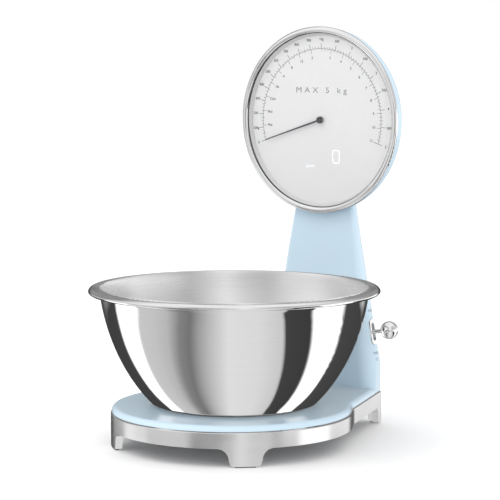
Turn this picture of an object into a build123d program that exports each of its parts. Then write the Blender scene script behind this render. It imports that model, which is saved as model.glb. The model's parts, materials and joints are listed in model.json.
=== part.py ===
from build123d import *
import math
import os

# Kitchen scale: a retro pedestal scale with a lift-off steel bowl, a round dial head,
# a motor-driven pointer, a small digital readout and a side lever.
# Millimetres. +Z up, -Y front, +X the lever's side. Origin: centre of the box's base.

os.makedirs("parts", exist_ok=True)

# ---- driving dimensions ----
back_y = 146.0                 # straight rear edge of the base
disc_y, disc_r = -20.0, 108.0  # round front of the base
tail_x, tail_ref_y = 76.9, 75.0
tail_slope = 0.328             # how fast the tail narrows towards the back
waist_r = 55.0                 # concave sweep between disc and tail
corner_r = 6.0                 # rear corners in plan
foot_z = 1.0                   # underside of the metal feet, above the rubber pads
band_z0, band_z1 = 16.3, 30.0  # metal band
band_wall = 4.0
flange_z0, flange_z1 = 20.2, 22.0
shell_gap = 0.8                # shadow gap between band and painted shell
shell_inset = 0.9
deck_z = 35.7
deck_edge_r = 4.3
wall = 2.4                     # plastic wall of the shell
bowl_y = -16.0                 # axis of the bowl and of the platform
platform_z = 37.5
platform_r, recess_r, recess_z = 66.0, 68.0, 33.7
well_r = 45.0                  # opening in the deck under the platform
head_z = 284.5                 # dial axis
head_front_y = 117.4           # front edge of the painted head, behind the bezel's lip
dome_y = 123.0                 # where the head's short cylinder turns into the dome
dome_r, dome_depth = 86.3, 21.0
dome_wall = 2.5
spigot_r, spigot_bore_r = 83.7, 82.4   # the bezel's spigot inside the head
spigot_y1 = 122.8
split_y = 141.0                # joint between shell and rear cover
split_gap = 0.25
cover_foot_z = 44.0            # lower end of the rear cover
bezel_r, bezel_front_y = 87.0, 114.0
lens_r = 81.5                  # clear opening of the bezel
face_y = 121.0                 # front of the dial face
glass_y0, glass_y1 = 115.6, 117.0
glass_r = 82.2
lever_tilt_deg = 9.8           # slant of the column's side face
lever_x, lever_y, lever_z = 51.9, 131.5, 87.5
pivot_depth = 14.0             # from the side face in to the lever's pivot
screw_r, screw_hole_r, boss_r = 1.3, 1.45, 3.6


# ---- helpers ----
def write(name, shape):
    export_step(shape, "parts/" + name + ".step")


def group(solids):
    return Compound(children=list(solids))


def rod(radius, start, end):
    start, end = Vector(*start), Vector(*end)
    plane = Plane(origin=start, z_dir=end - start)
    return extrude(plane * Circle(radius), (end - start).length)


def plate(x0, x1, y0, y1, z0, z1):
    return Pos((x0 + x1) / 2, (y0 + y1) / 2, (z0 + z1) / 2) * Box(x1 - x0, y1 - y0, z1 - z0)


def disc(radius, z0, z1, x=0.0, y=bowl_y):
    return rod(radius, (x, y, z0), (x, y, z1))


def dial_disc(radius, y0, y1, x=0.0, z=head_z):
    return rod(radius, (x, y0, z), (x, y1, z))


def arc(center, radius, deg0, deg1):
    points = []
    for deg in (deg0, (deg0 + deg1) / 2, deg1):
        a = math.radians(deg)
        points.append((center[0] + radius * math.cos(a), center[1] + radius * math.sin(a)))
    return ThreePointArc(*points)


def loop_face(edges):
    return make_face(Wire(edges))


def mirrored(shapes):
    both = []
    for shape in shapes:
        both.append(shape)
        both.append(shape.mirror(Plane.YZ))
    return both


def screw(radius, head_radius, start, end, head_height=1.4):
    """A pan-head screw: the head sits on `start`, outside, and the shank runs to `end`."""
    along = (Vector(*end) - Vector(*start)).normalized()
    top = Vector(*start) - along * head_height
    head = rod(head_radius, tuple(top), start)
    head -= rod(head_radius * 0.42, tuple(top), tuple(top + along * head_height * 0.6))
    return head + rod(radius, start, end)


# ---- base: metal band with feet, bottom cover, pads ----
def base_outline(inset):
    """Plan of the base, offset inwards by `inset`."""
    norm = math.hypot(1.0, tail_slope)
    nx, ny = 1.0 / norm, tail_slope / norm
    line_c = nx * tail_x + ny * tail_ref_y - inset
    radius, sweep = disc_r - inset, waist_r + inset
    across = line_c + sweep
    along = nx * disc_y + math.sqrt((radius + sweep) ** 2 - (across - ny * disc_y) ** 2)
    waist = (across * nx - along * ny, across * ny + along * nx)
    to_disc = math.degrees(math.atan2(disc_y - waist[1], -waist[0]))
    tail_deg = math.degrees(math.atan2(ny, nx))
    small = max(corner_r - inset, 1.0)
    edge_y = back_y - inset
    corner_y = edge_y - small
    corner_x = (line_c - small - ny * corner_y) / nx
    disc_deg = to_disc + 180.0 if to_disc < 0 else to_disc - 180.0
    right = [
        arc((0, disc_y), radius, -90.0, disc_deg),
        arc(waist, sweep, to_disc, tail_deg - 180.0),
        Line((waist[0] - sweep * nx, waist[1] - sweep * ny),
             (corner_x + small * nx, corner_y + small * ny)),
        arc((corner_x, corner_y), small, tail_deg, 90.0),
        Line((corner_x, edge_y), (0, edge_y)),
    ]
    left = [edge.mirror(Plane.YZ) for edge in reversed(right)]
    return loop_face(right + left)


def slab(inset, z0, z1):
    return Pos(0, 0, z0) * extrude(base_outline(inset), z1 - z0)


def ring_slab(outer_inset, inner_inset, z0, z1):
    return slab(outer_inset, z0, z1) - slab(inner_inset, z0 - 1, z1 + 1)


foot_wall = 6.3
front_foot_deg = 42.7
front_foot_half = 13.7
rear_foot_side_y, rear_foot_back_x = 133.5, 42.0
pad_z1 = 2.6


def foot_profile(half_width, flare_r):
    """Half of a foot seen from outside, from its middle to where it joins the band."""
    toe_r, lean = 2.8, 0.8
    flare = (half_width + lean + flare_r, band_z0 - flare_r)
    toe = (half_width - toe_r, foot_z + toe_r)
    return [
        Line((0, foot_z), (toe[0], foot_z)),
        arc(toe, toe_r, -90.0, 0.0),
        Line((half_width, toe[1]), (half_width + lean, flare[1])),
        arc(flare, flare_r, 180.0, 90.0),
        Line((flare[0], band_z0), (flare[0], band_z0 + 1.5)),
        Line((flare[0], band_z0 + 1.5), (0, band_z0 + 1.5)),
        Line((0, band_z0 + 1.5), (0, foot_z)),
    ]


def front_foot():
    half = loop_face(foot_profile(front_foot_half, 10.0))
    face = half + half.mirror(Plane.YZ)
    cutter = Rot(90, 0, 0) * extrude(face, disc_r + 20)
    return Pos(0, disc_y, 0) * Rot(0, 0, front_foot_deg) * cutter


def rear_foot_cutter():
    """The solid that leaves a foot around a rear corner, flared along both walls."""
    along_side = Plane(origin=(90, back_y, 0), x_dir=(0, -1, 0), z_dir=(-1, 0, 0))
    side = extrude(along_side * loop_face(foot_profile(back_y - rear_foot_side_y, 7.0)), 90)
    corner_x = 60.0
    along_back = Plane(origin=(corner_x, 100, 0), x_dir=(-1, 0, 0), z_dir=(0, 1, 0))
    back = extrude(along_back * loop_face(foot_profile(corner_x - rear_foot_back_x, 7.0)), 60)
    return side & back


def make_plinth():
    band = slab(0, band_z0, band_z1)
    band = fillet(band.edges().group_by(Axis.Z)[-1], 0.8)
    band -= slab(band_wall, band_z0 - 1, band_z1 + 1)
    band += ring_slab(band_wall - 0.5, 13.0, flange_z0, flange_z1)
    leg_ring = ring_slab(0, foot_wall, foot_z, band_z0 + 1.2)
    for foot in mirrored([front_foot(), rear_foot_cutter()]):
        band += leg_ring & foot
    for pad in pad_solids(0.15):
        band -= pad
    for x, y in bottom_screw_spots():
        band -= disc(screw_hole_r, flange_z0 - 1, flange_z1 + 1, x, y)
    return band


def pad_solids(grow):
    """Rubber pads let into the feet; `grow` widens them into their pockets."""
    pads = []
    a = math.radians(front_foot_deg)
    mid_r = disc_r - foot_wall / 2
    for sign in (-1, 1):
        spot = (sign * mid_r * math.sin(a), disc_y - mid_r * math.cos(a))
        block = Box(18 + 2 * grow, 3.4 + 2 * grow, pad_z1 + 2 * grow)
        pads.append(Pos(spot[0], spot[1], pad_z1 / 2) * Rot(0, 0, sign * front_foot_deg) * block)
        rear = (sign * 47.0, back_y - foot_wall / 2)
        block = Box(7.0 + 2 * grow, 3.4 + 2 * grow, pad_z1 + 2 * grow)
        pads.append(Pos(rear[0], rear[1], pad_z1 / 2) * block)
    return pads


def bottom_screw_spots():
    spots = []
    for deg in (-62.0, -8.0, 188.0, 242.0):
        a = math.radians(deg)
        spots.append((96.5 * math.cos(a), disc_y + 96.5 * math.sin(a)))
    spots += [(60.0, 97.0), (-60.0, 97.0)]
    return spots


cover_z0, cover_z1 = 17.6, 20.2     # plastic bottom cover
cell_z0 = 22.4                      # underside of the load cell
cell_half, cell_h, cell_w = 36.0, 9.4, 12.0
cell_x = 27.0                       # screw pairs at +-cell_x
carrier_z = cell_z0 + cell_h        # underside of the carrier
battery_r, battery_len = 5.25, 44.5
battery_y = 84.0
battery_pitch = 11.6
bay_x, bay_y0, bay_y1 = 30.0, 63.0, 105.0
bay_top = 31.2
door_z0 = 17.6


def make_bottom_cover():
    cover = slab(band_wall + 0.4, cover_z0, cover_z1)
    lid = plate(-bay_x - 2, bay_x + 2, bay_y0 - 2, bay_y1 + 2, cover_z1 - 0.1, bay_top + 1.6)
    cover += lid
    cover -= plate(-bay_x, bay_x, bay_y0, bay_y1, cover_z0 - 1, bay_top)
    cover -= plate(-bay_x - 1.2, bay_x + 1.2, bay_y0 - 9, bay_y1 + 1, cover_z0 - 1, door_z0 + 1.6)
    for x in cell_screw_xs(-1):
        cover += disc(3.4, cover_z1 - 0.1, cover_z1 + 0.9, x, bowl_y)
    for x, y in bottom_screw_spots():
        cover -= disc(screw_hole_r, cover_z0 - 1, cover_z1 + 1, x, y)
        cover -= disc(3.0, cover_z0 - 1, cover_z0 + 1.5, x, y)
    for x in cell_screw_xs(-1):
        cover -= disc(screw_hole_r + 0.2, cover_z0 - 1, cover_z1 + 1.5, x, bowl_y)
        cover -= disc(3.2, cover_z0 - 1, cover_z0 + 1.4, x, bowl_y)
    return cover


def make_bottom_screws():
    return group(screw(screw_r, 2.7, (x, y, cover_z0 + 1.5), (x, y, flange_z1 + 7.0), 1.3)
                 for x, y in bottom_screw_spots())


def cell_screw_xs(side):
    return (side * cell_x - 5.0, side * cell_x + 5.0)


def make_battery_door():
    door = plate(-bay_x - 0.9, bay_x + 0.9, bay_y0 - 0.8, bay_y1 + 0.7, door_z0, door_z0 + 1.3)
    for y in (67.0, 69.5, 72.0):
        door += plate(-8, 8, y, y + 1.0, door_z0 - 0.5, door_z0 + 0.1)
    return door


def battery_spots():
    return [(battery_y + battery_pitch * k) for k in (-1, 0, 1)]


def make_batteries():
    cells = []
    z = door_z0 + 2.0 + battery_r
    for y in battery_spots():
        can = rod(battery_r, (-battery_len / 2, y, z), (battery_len / 2 - 1.0, y, z))
        can += rod(1.9, (battery_len / 2 - 1.1, y, z), (battery_len / 2, y, z))
        cells.append(can)
    return group(cells)


def make_battery_contacts():
    z = door_z0 + 2.0 + battery_r
    contacts = []
    for y in battery_spots():
        contacts.append(plate(bay_x - 0.6, bay_x, y - 4, y + 4, z - 4, z + 4)
                        + plate(battery_len / 2 + 0.1, bay_x - 0.5, y - 1.5, y + 1.5, z - 1, z + 1))
        contacts.append(plate(-bay_x, -bay_x + 0.6, y - 4, y + 4, z - 4, z + 4)
                        + rod(2.6, (-bay_x + 0.5, y, z), (-battery_len / 2 - 0.1, y, z)))
    return group(contacts)


# ---- weighing mechanism ----
def make_cell_foot():
    foot = plate(-cell_half - 2, -cell_x + 12, bowl_y - 10, bowl_y + 10, cover_z1 + 0.9, cell_z0)
    for x in cell_screw_xs(-1):
        foot -= disc(screw_hole_r + 0.2, cover_z1, cell_z0 + 1, x, bowl_y)
    return foot


def make_load_cell():
    bar = plate(-cell_half, cell_half, bowl_y - cell_w / 2, bowl_y + cell_w / 2, cell_z0, carrier_z)
    z = (cell_z0 + carrier_z) / 2
    waist = rod(3.4, (-7, bowl_y - 20, z), (-7, bowl_y + 20, z))
    waist += rod(3.4, (7, bowl_y - 20, z), (7, bowl_y + 20, z))
    waist += plate(-7, 7, bowl_y - 20, bowl_y + 20, z - 1.2, z + 1.2)
    bar -= waist
    for x in cell_screw_xs(-1) + cell_screw_xs(1):
        bar -= disc(screw_hole_r + 0.2, cell_z0 - 1, carrier_z + 1, x, bowl_y)
    return bar


def make_cell_gauges():
    pads = []
    for x in (-7, 7):
        pads.append(plate(x - 2.5, x + 2.5, bowl_y - 4, bowl_y + 4, carrier_z, carrier_z + 0.3))
    return group(pads)


def make_cell_screws():
    screws = []
    for x in cell_screw_xs(-1):
        screws.append(screw(screw_r, 2.8, (x, bowl_y, cover_z0 + 1.4), (x, bowl_y, carrier_z - 1.0), 1.3))
    return group(screws)


arm_w = 9.0


def make_platform_carrier():
    top = recess_z + 1.0
    carrier = disc(16.0, carrier_z + 1.0, top, cell_x)
    carrier += disc(7.5, carrier_z, top, cell_x)
    carrier += plate(cell_x - 9, cell_x + 9, bowl_y - 6, bowl_y + 6, carrier_z, top)
    for deg in (45, 135, 225, 315):
        arm = Pos(0, 0, (carrier_z + 1.0 + top) / 2) * Box(2 * (well_r - 3), arm_w, top - carrier_z - 1.0)
        carrier += Pos(0, bowl_y, 0) * Rot(0, 0, deg) * arm
    carrier -= disc(well_r + 20, 0, 60) - disc(well_r - 1.5, 0, 60)
    for x in cell_screw_xs(1):
        carrier -= disc(screw_hole_r + 0.1, 0, 60, x, bowl_y)
        carrier -= disc(3.1, top - 1.3, 60, x, bowl_y)
    return carrier


def make_carrier_screws():
    top = recess_z + 1.0
    screws = []
    for x in cell_screw_xs(1):
        screws.append(screw(screw_r, 2.7, (x, bowl_y, top - 1.3), (x, bowl_y, cell_z0 + 1.5), 1.2))
    return group(screws)


def make_weighing_platform():
    top = disc(platform_r, recess_z + 1.0, platform_z)
    top = fillet(top.edges().group_by(Axis.Z)[-1], 1.2)
    groove = disc(58.0, platform_z - 0.9, platform_z + 1) - disc(48.0, platform_z - 2, platform_z + 2)
    return top - groove


def make_grip_ring():
    return disc(57.9, platform_z - 0.9, platform_z) - disc(48.1, platform_z - 2, platform_z + 2)


# ---- bowl ----
bowl_wall = 1.0
bowl_base_r = 72.2
bowl_curve = [(74.99, 38.64), (92.6, 55.9), (113.02, 89.57), (119.36, 133.0)]
bowl_lip = [(121.2, 137.4), (125.2, 140.1), (128.2, 139.4), (129.0, 138.0), (128.3, 137.0)]
bowl_rim = [(120.4, 138.2), (125.2, 141.1), (128.9, 140.1), (130.0, 138.2), (128.6, 136.1)]


def bezier_offset(points, t, distance):
    """A point at parameter `t` of a cubic Bezier, moved `distance` to its left."""
    s = 1 - t
    weights = (s ** 3, 3 * s * s * t, 3 * s * t * t, t ** 3)
    slopes = (-3 * s * s, 3 * s * s - 6 * s * t, 6 * s * t - 3 * t * t, 3 * t * t)
    x, z = (sum(w * p[k] for w, p in zip(weights, points)) for k in (0, 1))
    dx, dz = (sum(w * p[k] for w, p in zip(slopes, points)) for k in (0, 1))
    size = math.hypot(dx, dz)
    return (x - dz / size * distance, z + dx / size * distance)


def make_bowl():
    start, end = bowl_curve[0], bowl_curve[-1]
    base_turn = (73.7, 37.83)
    inner = [bezier_offset(bowl_curve, k / 6, bowl_wall) for k in range(7)]
    outer_dir = (end[0] - bowl_curve[2][0], end[1] - bowl_curve[2][1])
    start_dir = (bowl_curve[1][0] - start[0], bowl_curve[1][1] - start[1])
    inner_turn = (73.0, 38.72)
    edges = [
        Line((0, platform_z), (bowl_base_r, platform_z)),
        ThreePointArc((bowl_base_r, platform_z), base_turn, start),
        Bezier(*bowl_curve),
        Spline([end] + bowl_lip, tangents=[outer_dir, (-1.0, -0.5)]),
        Line(bowl_lip[-1], bowl_rim[-1]),
        Spline(bowl_rim[::-1] + [inner[-1]], tangents=[(1.0, 0.5), (-outer_dir[0], -outer_dir[1])]),
        Spline(inner[::-1], tangents=[(-outer_dir[0], -outer_dir[1]), (-start_dir[0], -start_dir[1])]),
        ThreePointArc(inner[0], inner_turn, (bowl_base_r - 0.2, platform_z + bowl_wall)),
        Line((bowl_base_r - 0.2, platform_z + bowl_wall), (0, platform_z + bowl_wall)),
        Line((0, platform_z + bowl_wall), (0, platform_z)),
    ]
    section = Plane.XZ * loop_face(edges)
    return Pos(0, bowl_y, 0) * revolve(section, Axis.Z, 360)


# ---- painted shell: deck, column and head ----
column_top_z = 226.0


def column_size(z):
    """Half width, front, back and corner radii of the column at height z."""
    half = 57.5 - 0.1725 * (z - 58.0)
    front = 117.5 + 7.5 * (max(z - 36.0, 0.0) / 164.0) ** 1.3
    back = back_y - shell_inset - 0.2
    if z > 150.0:
        back -= 9.0 * ((z - 150.0) / (column_top_z - 150.0)) ** 2
    front_r = min(14.0, max(3.5, 14.0 - 0.107 * (z - 58.0)))
    rear_r = min(16.0, 7.5 + 0.14 * max(z - 33.0, 0.0), back - front - front_r - 0.8)
    return half, front, back, front_r, rear_r


def column_section(z, inset):
    half, front, back, front_r, rear_r = column_size(z)
    half, front, back = half - inset, front + inset, back - inset
    front_r = max(front_r - inset, 1.0)
    rear_r = max(rear_r - inset, 1.0)
    side = [
        Line((0, front), (half - front_r, front)),
        arc((half - front_r, front + front_r), front_r, -90.0, 0.0),
        Line((half, front + front_r), (half, back - rear_r)),
        arc((half - rear_r, back - rear_r), rear_r, 0.0, 90.0),
        Line((half - rear_r, back), (0, back)),
    ]
    other = [edge.mirror(Plane.YZ) for edge in reversed(side)]
    return Pos(0, 0, z) * loop_face(side + other)


def column_solid(inset, bottom_z):
    heights = [bottom_z, 60.0, 100.0, 142.0, 175.0, 200.0, column_top_z]
    column = loft([column_section(z, inset) for z in heights])
    return column & slab(shell_inset + inset, 0, column_top_z + 1)


def dome_points(radius, depth, deg0):
    """Points of the dome's elliptic profile, (radius, depth), from deg0 up to the pole."""
    steps = 6
    angles = [math.radians(deg0 + (90.0 - deg0) * k / steps) for k in range(steps + 1)]
    return [(radius * math.cos(a), depth * math.sin(a)) for a in angles]


def dome_cap(radius, depth, deg0):
    """The solid between the dome and the plane across it at deg0 of its profile."""
    points = dome_points(radius, depth, deg0)
    a = math.radians(deg0)
    start_dir = (-radius * math.sin(a), depth * math.cos(a))
    floor_y = points[0][1]
    profile = [
        Spline(points, tangents=[start_dir, (-1.0, 0.0)]),
        Line(points[-1], (0, floor_y)),
        Line((0, floor_y), points[0]),
    ]
    return Pos(0, dome_y, head_z) * revolve(loop_face(profile), Axis.Y, 360)


def head_solid(radius, depth):
    """The dome with the short cylinder in front of it."""
    return dome_cap(radius, depth, 0.0) + dial_disc(radius, head_front_y, dome_y)


lever_up = math.radians(lever_tilt_deg)
lever_axis = Vector(math.cos(lever_up), 0, math.sin(lever_up))
lever_plane = Plane(origin=(lever_x, lever_y, lever_z), x_dir=(0, 1, 0), z_dir=tuple(lever_axis))


def lever_point(along, across=0.0):
    """A point on the lever's line: `along` it outwards, `across` it upwards."""
    up = Vector(-math.sin(lever_up), 0, math.cos(lever_up))
    p = Vector(lever_x, lever_y, lever_z) + lever_axis * along + up * across
    return (p.X, p.Y, p.Z)


def oblong(width, height, depth0, depth1):
    face = lever_plane.offset(depth0) * SlotOverall(height, width, rotation=90)
    return extrude(face, depth1 - depth0)


dial_boss_spots = [(45.0, 35.0), (-45.0, 35.0), (45.0, -35.0), (-45.0, -35.0)]
cover_seat_y = 142.2             # seat of the rear screws' heads
rear_boss_y = 136.0              # front end of the head's bosses for them
column_boss_y = 118.0            # and of the column's, cut off by its front wall
screw_sink_r = 3.0
drill_end_y = 160.0              # drills run out behind the covers to here
cover_screw_spots = [(0.0, head_z + 22.0), (-22.0, head_z - 6.0), (22.0, head_z - 6.0),
                     (18.0, 178.0), (-18.0, 178.0), (32.0, 56.0), (-32.0, 56.0)]
carrier_y0, carrier_y1 = face_y + 1.0, face_y + 3.2


def housing():
    outer = slab(shell_inset, band_z1 + shell_gap, deck_z)
    outer = fillet(outer.edges().group_by(Axis.Z)[-1], deck_edge_r)
    outer += column_solid(0.0, band_z1 + shell_gap)
    outer += head_solid(dome_r, dome_depth)
    outer -= head_solid(dome_r - dome_wall, dome_depth - dome_wall)
    outer -= dial_disc(dome_r - dome_wall, head_front_y - 1, head_front_y + 1)
    outer -= column_solid(wall, band_z1 - 3)
    outer -= slab(shell_inset + wall, band_z1 - 5, deck_z - wall) - disc(recess_r + wall, 31.5, deck_z + 1)
    return outer


def add_bottom_bosses(shell):
    """Screw bosses that stand on the flange, under the deck."""
    for x, y in bottom_screw_spots():
        shell += disc(boss_r, flange_z1, deck_z - 1.0, x, y)
        shell -= disc(screw_hole_r, flange_z1 - 1, flange_z1 + 8, x, y)
    return shell


def add_rear_bosses(shell, inside):
    """Bosses for the rear screws, kept inside the housing's wall."""
    for x, z in cover_screw_spots:
        boss = rod(boss_r, (x, rear_boss_y, z), (x, split_y - split_gap, z))
        if z < column_top_z:
            boss = rod(boss_r, (x, column_boss_y, z), (x, split_y - split_gap, z)) & inside
        shell += boss & inside
        shell -= rod(screw_hole_r, (x, split_y - 7, z), (x, split_y + 1, z))
    return shell


def rear_drill(x, z):
    """A rear screw's hole through a cover, with a counterbore for its head."""
    hole = rod(screw_hole_r, (x, split_y - 1, z), (x, drill_end_y, z))
    return hole + rod(screw_sink_r, (x, cover_seat_y, z), (x, drill_end_y, z))


def drilled_covers(column_cover, head_cover, inside):
    for x, z in cover_screw_spots:
        if z < column_top_z:
            seat = rod(boss_r, (x, split_y, z), (x, cover_seat_y + 0.6, z)) & inside
            column_cover = column_cover + seat - rear_drill(x, z)
        else:
            head_cover = head_cover - rear_drill(x, z)
    return column_cover, head_cover


def add_dial_posts(shell, inside):
    """Posts that the dial's carrier is screwed to."""
    for x, dz in dial_boss_spots:
        z = head_z + dz
        post = rod(boss_r, (x, carrier_y1, z), (x, back_y + 4.0, z))
        shell += post & inside
        shell -= rod(screw_hole_r, (x, carrier_y1 - 1, z), (x, carrier_y1 + 6, z))
    return shell


def make_shells():
    """The painted shell and the two rear covers cut from its back."""
    reach = 200.0
    body = housing()
    body += ring_slab(band_wall + 0.3, band_wall + 2.6, flange_z1, band_z1 + shell_gap + 1.5)
    body -= disc(recess_r, recess_z, platform_z + 5)
    body -= disc(well_r, 20, platform_z + 5)
    column_cover = body & plate(-reach, reach, split_y, reach, cover_foot_z, column_top_z + 4.0)
    split_deg = math.degrees(math.asin((split_y - dome_y) / dome_depth))
    head_cover = dome_cap(dome_r, dome_depth, split_deg)
    shell = body - plate(-reach, reach, split_y - split_gap, reach, cover_foot_z - split_gap, 2 * reach)
    inside = column_solid(1.0, band_z1) + head_solid(dome_r - 1.0, dome_depth - 1.0)
    shell = add_bottom_bosses(shell)
    shell = add_rear_bosses(shell, inside)
    column_cover, head_cover = drilled_covers(column_cover, head_cover, inside)
    shell = add_dial_posts(shell, inside)
    shell -= oblong(8.9, 24.3, -1.0, 6.0)
    shell -= oblong(6.0, 19.0, -8.0, 6.0)
    return shell, column_cover, head_cover


def make_rear_screws():
    return group(screw(screw_r, 2.7, (x, cover_seat_y, z), (x, split_y - 6.0, z), 0.8)
                 for x, z in cover_screw_spots)


# ---- dial head ----
def ring_y(profile):
    """Revolve a closed (radius, y) profile about the dial's axis."""
    return Pos(0, 0, head_z) * revolve(loop_face(profile), Axis.Y, 360)


def make_bezel():
    crest_r, crest_y = 84.3, bezel_front_y
    outer_r = 2.7
    seat_y = head_front_y - 0.1
    profile = [
        Line((bezel_r, seat_y), (bezel_r, crest_y + outer_r)),
        arc((crest_r, crest_y + outer_r), outer_r, 0.0, -90.0),
        ThreePointArc((crest_r, crest_y), (82.5, crest_y + 0.3), (lens_r, glass_y0)),
        Line((lens_r, glass_y0), (spigot_bore_r, glass_y0)),
        Line((spigot_bore_r, glass_y0), (spigot_bore_r, spigot_y1)),
        Line((spigot_bore_r, spigot_y1), (spigot_r, spigot_y1)),
        Line((spigot_r, spigot_y1), (spigot_r, seat_y)),
        Line((spigot_r, seat_y), (bezel_r, seat_y)),
    ]
    return ring_y(profile)


def make_glass_gasket():
    return dial_disc(glass_r, glass_y1, glass_y1 + 0.7) - dial_disc(81.0, glass_y1 - 1, glass_y1 + 2)


def make_dial_ring():
    inner_front, inner_back = 80.6, 78.6
    profile = [
        Line((81.9, glass_y1 + 0.7), (inner_front, glass_y1 + 0.7)),
        Line((inner_front, glass_y1 + 0.7), (inner_back, face_y - 0.6)),
        Line((inner_back, face_y - 0.6), (inner_back, face_y)),
        Line((inner_back, face_y), (81.9, face_y)),
        Line((81.9, face_y), (81.9, glass_y1 + 0.7)),
    ]
    return ring_y(profile)


motor_y0 = 133.7
board_y0, board_y1 = 132.1, 133.7
display_x, display_dz = 17.0, -34.0


def make_dial_face():
    face = dial_disc(82.0, face_y, carrier_y0)
    face -= dial_disc(3.05, face_y - 1, carrier_y0 + 1)
    for x, dz in dial_boss_spots:
        face -= dial_disc(2.9, face_y + 0.4, carrier_y0 + 1, x, head_z + dz)
    return face


def make_dial_carrier():
    carrier = dial_disc(81.0, carrier_y0, carrier_y1)
    carrier -= dial_disc(3.05, carrier_y0 - 1, carrier_y1 + 1)
    x0, x1 = display_x - 26.0, display_x + 12.0
    z0, z1 = head_z + display_dz - 13.0, head_z + display_dz + 11.0
    carrier -= plate(x0, x1, carrier_y0 - 1, carrier_y1 + 1, z0, z1)
    for x, dz in board_spots:
        carrier += dial_disc(3.0, carrier_y1 - 0.1, board_y0, x, head_z + dz)
        carrier -= dial_disc(1.1, carrier_y1 + 0.3, board_y0 + 1, x, head_z + dz)
    for x, dz in dial_boss_spots:
        carrier -= dial_disc(screw_hole_r, carrier_y0 - 1, carrier_y1 + 1, x, head_z + dz)
    return carrier


board_spots = [(30.0, 22.0), (-30.0, 22.0), (30.0, -51.0), (-30.0, -51.0)]


def make_dial_screws():
    return group(screw(screw_r, 2.6, (x, carrier_y0, head_z + dz), (x, carrier_y1 + 5, head_z + dz), 0.5)
                 for x, dz in dial_boss_spots)


def make_main_board():
    board = plate(-34, 34, board_y0, board_y1, head_z - 55, head_z + 26)
    board -= dial_disc(3.2, board_y0 - 1, board_y1 + 1)
    for x, dz in board_spots:
        board -= dial_disc(1.3, board_y0 - 1, board_y1 + 1, x, head_z + dz)
    return board


def make_board_chips():
    chips = [plate(-26, -14, board_y1, board_y1 + 1.6, head_z - 46, head_z - 34),
             plate(-8, -2, board_y1, board_y1 + 1.4, head_z - 42, head_z - 36),
             plate(14, 20, board_y1, board_y1 + 2.2, head_z - 53, head_z - 40),
             dial_disc(2.5, board_y1, board_y1 + 4.0, 6.0, head_z - 48)]
    return group(chips)


def make_board_screws():
    return group(screw(1.0, 2.2, (x, board_y1, head_z + dz), (x, carrier_y1 + 0.6, head_z + dz), 1.2)
                 for x, dz in board_spots)


def make_display_module():
    x0, x1 = display_x - 25.0, display_x + 11.0
    z0, z1 = head_z + display_dz - 12.0, head_z + display_dz + 10.0
    return plate(x0, x1, carrier_y0 + 0.5, board_y0, z0, z1)


def make_display_diffuser():
    x0, x1 = display_x - 25.0, display_x + 11.0
    z0, z1 = head_z + display_dz - 12.0, head_z + display_dz + 10.0
    return plate(x0, x1, carrier_y0, carrier_y0 + 0.5, z0, z1)


pointer_y0, pointer_y1 = 118.2, 119.0
pointer_rest_deg = 198.0        # 108 degrees left of straight up, counted from +X
pointer_len = 65.0
shaft_r = 1.0


def make_pointer():
    hub = Circle(3.2)
    blade = loop_face([Line((0, -0.85), (pointer_len, -0.4)),
                       Line((pointer_len, -0.4), (pointer_len, 0.4)),
                       Line((pointer_len, 0.4), (0, 0.85)),
                       Line((0, 0.85), (0, -0.85))])
    flat = hub + Rot(0, 0, pointer_rest_deg) * blade
    flat -= Circle(shaft_r)
    solid = Rot(90, 0, 0) * extrude(flat, pointer_y1 - pointer_y0)
    return Pos(0, pointer_y1, head_z) * solid


def make_pointer_cap():
    return dial_disc(3.0, pointer_y0 - 0.8, pointer_y0)


def make_pointer_bush():
    bush = dial_disc(3.0, face_y - 0.7, carrier_y1 + 2.0) + dial_disc(4.2, carrier_y1, carrier_y1 + 1.5)
    return bush - dial_disc(shaft_r + 0.05, face_y - 5, carrier_y1 + 5)


def make_motor_case():
    case = plate(-14, 14, motor_y0, motor_y0 + 6.8, head_z - 14, head_z + 14)
    case -= plate(-12.8, 12.8, motor_y0 + 1.2, motor_y0 + 6.0, head_z - 12.8, head_z + 12.8)
    return case - dial_disc(shaft_r + 0.05, motor_y0 - 1, motor_y0 + 1.3)


wheel_y0, wheel_y1 = 135.6, 137.0
wheel_r, pinion_r, mesh_gap = 7.6, 1.2, 0.25


def make_output_wheel():
    wheel = dial_disc(wheel_r, wheel_y0, wheel_y1)
    return wheel + dial_disc(shaft_r, pointer_y0, wheel_y1 + 2.0)


def make_motor_rotor():
    x = -(wheel_r + pinion_r + mesh_gap)
    rotor = dial_disc(pinion_r, wheel_y0 - 0.2, wheel_y1 + 2.2, x)
    return rotor + dial_disc(3.2, wheel_y1 + 0.4, wheel_y1 + 2.0, x)


# ---- lever ----
ball_r, ball_along = 8.25, 18.6
stem_r = 1.9
hub_r = 4.2
arm_len = 12.0


def make_lever_ball():
    ball = Pos(*lever_point(ball_along)) * Sphere(ball_r)
    return ball - rod(stem_r, lever_point(0), lever_point(ball_along - 2))


def make_lever_stem():
    return rod(stem_r, lever_point(-pivot_depth + hub_r - 2.0), lever_point(ball_along - 2))


pivot = lever_point(-pivot_depth)
hub_y0, hub_y1 = 129.0, 134.0


def make_lever_rocker():
    px, pz = pivot[0], pivot[2]
    rocker = rod(hub_r, (px, hub_y0, pz), (px, hub_y1, pz))
    rocker += rod(3.0, lever_point(-pivot_depth), lever_point(-pivot_depth + hub_r + 2.0)) & \
        plate(px - 20, px + 20, hub_y0, hub_y1, pz - 20, pz + 20)
    rocker += plate(px - arm_len, px, lever_y - 1.5, lever_y + 1.5, pz - 1.2, pz + 1.2)
    rocker += rod(1.4, (px - arm_len, lever_y - 1.5, pz), (px - arm_len, lever_y + 1.5, pz))
    rocker -= rod(1.05, (px, hub_y0 - 1, pz), (px, hub_y1 + 1, pz))
    rocker -= rod(stem_r, lever_point(-pivot_depth + hub_r - 2.0), lever_point(0))
    return rocker


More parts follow.
